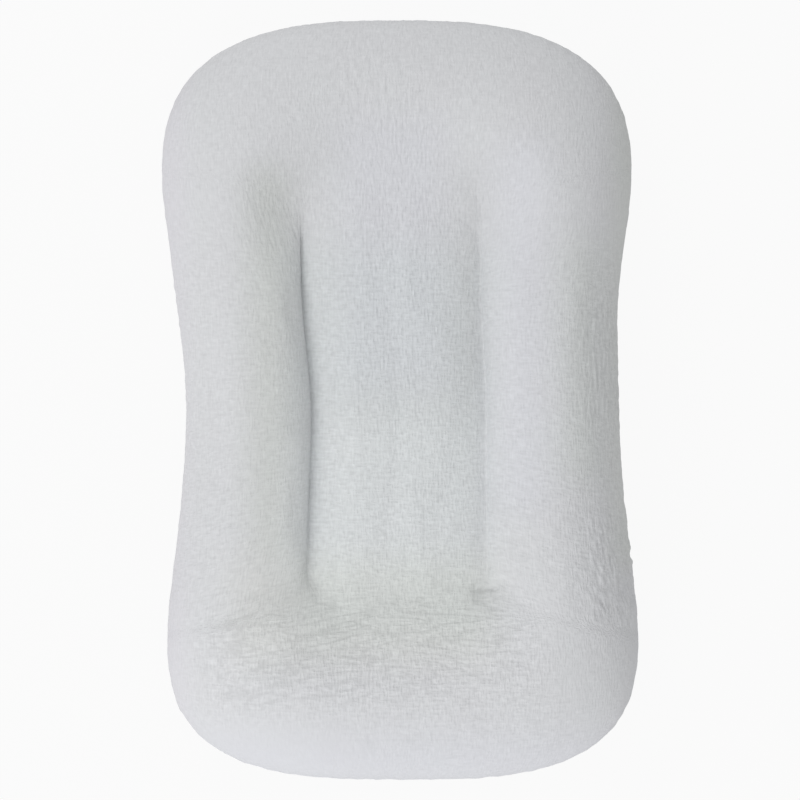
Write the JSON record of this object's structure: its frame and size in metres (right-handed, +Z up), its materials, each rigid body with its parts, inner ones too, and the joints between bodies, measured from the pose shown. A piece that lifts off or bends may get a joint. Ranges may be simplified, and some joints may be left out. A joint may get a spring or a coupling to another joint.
{
  "type": "infant lounger",
  "caption": "Cushioned infant lounger: a ring-shaped bolster round a padded sling well, in a zipped muslin cover.",
  "frame": {"origin": "middle of the underside, on the surface that the lounger lies on", "axes": "+X to the right-hand side seen from above with the head end up, +Y to the head end, +Z up"},
  "size_m": [0.4624, 0.737, 0.125],
  "materials": {
    "muslin": "crinkled cotton double gauze, pale grey",
    "cotton_tape": "woven tape, pale grey",
    "satin_label": "bare white satin",
    "cotton_shell": "plain unbleached cotton",
    "thread": "polyester sewing thread",
    "fibre_fill": "white polyester fibre",
    "zipper_nylon": "moulded nylon",
    "slider_enamel": "enamelled zinc"
  },
  "bodies": {
    "lounger": {"cover_top_panel": "muslin", "cover_bottom_panel_right": "muslin", "cover_bottom_panel_left": "muslin", "cover_seam_binding": "cotton_tape", "care_label": "satin_label", "shell_top_panel": "cotton_shell", "shell_bottom_panel": "cotton_shell", "shell_seam_binding": "cotton_tape", "channel_tape_right": "cotton_tape", "channel_tape_left": "cotton_tape", "channel_stitching_right": "thread", "channel_stitching_left": "thread", "bolster_fill_right": "fibre_fill", "bolster_fill_head": "fibre_fill", "bolster_fill_left": "fibre_fill", "bolster_fill_foot": "fibre_fill", "sling_pad": "fibre_fill", "zipper_tape_right": "cotton_tape", "zipper_tape_left": "cotton_tape", "zipper_teeth_right": "zipper_nylon", "zipper_teeth_left": "zipper_nylon", "zipper_top_stop_right": "zipper_nylon", "zipper_top_stop_left": "zipper_nylon", "zipper_bottom_stop": "zipper_nylon"},
    "slider": {"zipper_slider": "slider_enamel"},
    "pull_tab": {"zipper_pull_tab": "slider_enamel"}
  },
  "joints": [
    {"name": "zip_slide", "type": "slide", "parent": "lounger", "child": "slider", "axis": [0, 1, 0], "range_m": [0, 0.36], "deforming": ["zipper_teeth_right", "zipper_teeth_left"]},
    {"name": "pull_tab_hinge", "type": "hinge", "parent": "slider", "child": "pull_tab", "pos_m": [0, -0.1814, 0.01195], "axis": [-1, 0, 0], "range_deg": [-22, 130]}
  ]
}
